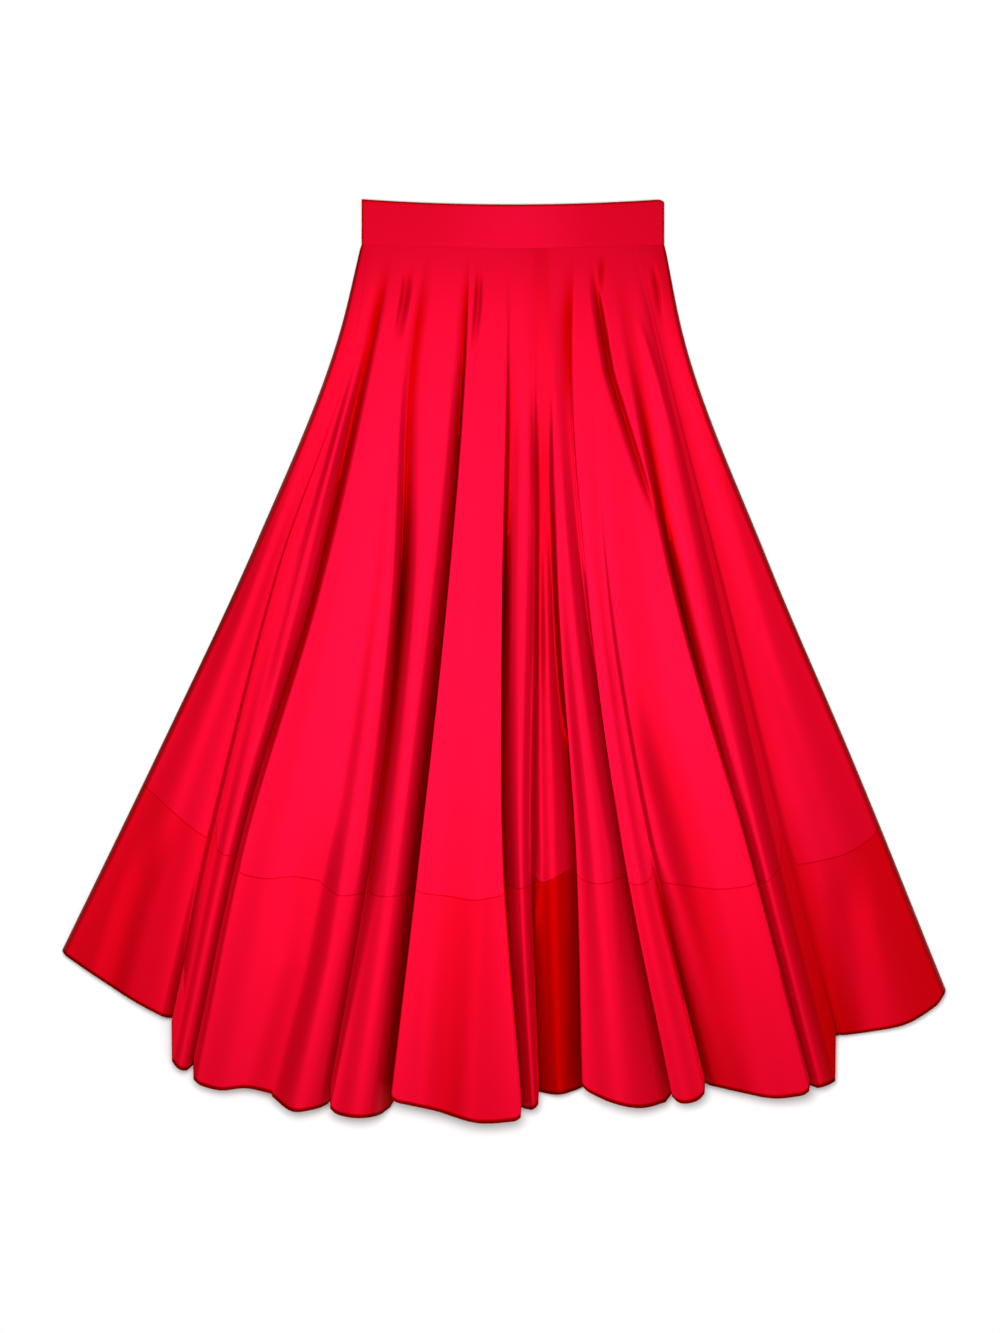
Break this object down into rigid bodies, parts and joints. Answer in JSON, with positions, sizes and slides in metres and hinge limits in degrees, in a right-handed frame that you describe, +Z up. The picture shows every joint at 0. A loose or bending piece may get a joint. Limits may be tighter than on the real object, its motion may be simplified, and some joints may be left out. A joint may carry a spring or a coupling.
{
  "type": "circle skirt",
  "caption": "Red midi circle skirt with a plain waistband and a deep hem band, laid flat with its folds fanned out.",
  "frame": {"origin": "centre of the bounding box at its bottom, on the surface that the skirt lies on", "axes": "+Y from hem to waist, +Z up out of the surface, front of the skirt up, +X toward the picture's right"},
  "size_m": [0.9713, 1.0114, 0.0387],
  "materials": {
    "skirt_cloth": "smooth heavy double knit with a soft satin sheen",
    "waistband_cloth": "the same cloth, double, a little flatter in sheen"
  },
  "bodies": {
    "root": {"skirt_front": "skirt_cloth", "skirt_back": "skirt_cloth", "hem_band_front": "skirt_cloth", "hem_band_back": "skirt_cloth", "waistband_front": "waistband_cloth", "waistband_back": "waistband_cloth"}
  },
  "joints": []
}
